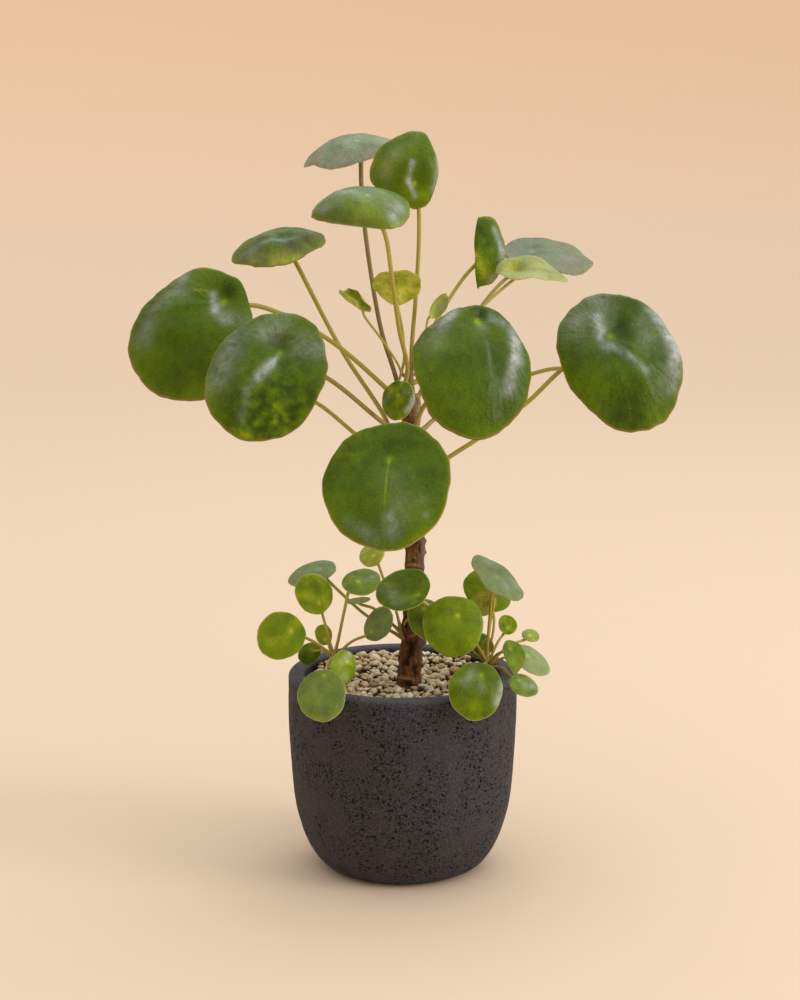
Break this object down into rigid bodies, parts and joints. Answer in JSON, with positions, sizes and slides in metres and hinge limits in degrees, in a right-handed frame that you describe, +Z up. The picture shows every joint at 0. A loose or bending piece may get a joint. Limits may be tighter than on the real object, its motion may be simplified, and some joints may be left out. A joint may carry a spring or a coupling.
{
  "type": "potted pilea plant",
  "caption": "House plant with round glossy leaves on long stalks round a woody stem, small plantlets at its foot, in a dark stoneware pot topped with pumice; stands on its flat foot.",
  "frame": {"origin": "centre of the pot's flat foot, on the surface that it stands on", "axes": "+Z up along the stem, +X to the right as the picture shows the plant, -Y toward its front"},
  "size_m": [0.3314, 0.2522, 0.4473],
  "materials": {
    "stoneware": "matte",
    "soil": "matte",
    "pumice": "matte",
    "woody_stem": "matte",
    "grown_leaf": "satin",
    "young_leaf": "satin",
    "plantlet": "satin"
  },
  "bodies": {
    "root": {"pot": "stoneware", "potting_mix": "soil", "pumice_gravel": "pumice", "trunk": "woody_stem", "leaf_top_left": "grown_leaf", "leaf_top": "grown_leaf", "leaf_upper_middle": "grown_leaf", "leaf_upper_left": "grown_leaf", "leaf_far_left": "grown_leaf", "leaf_mid_left": "grown_leaf", "leaf_front": "grown_leaf", "leaf_mid_right": "grown_leaf", "leaf_far_right": "grown_leaf", "leaf_folded": "grown_leaf", "leaf_back_right": "grown_leaf", "leaf_cupped": "grown_leaf", "leaf_behind_left": "grown_leaf", "leaf_behind_right": "grown_leaf", "leaf_small_pale": "young_leaf", "leaf_young_underside": "young_leaf", "leaf_young_curled": "young_leaf", "leaf_bud_pair": "young_leaf", "side_shoot": "plantlet", "plantlet_left": "plantlet", "plantlet_right": "plantlet"}
  },
  "joints": []
}
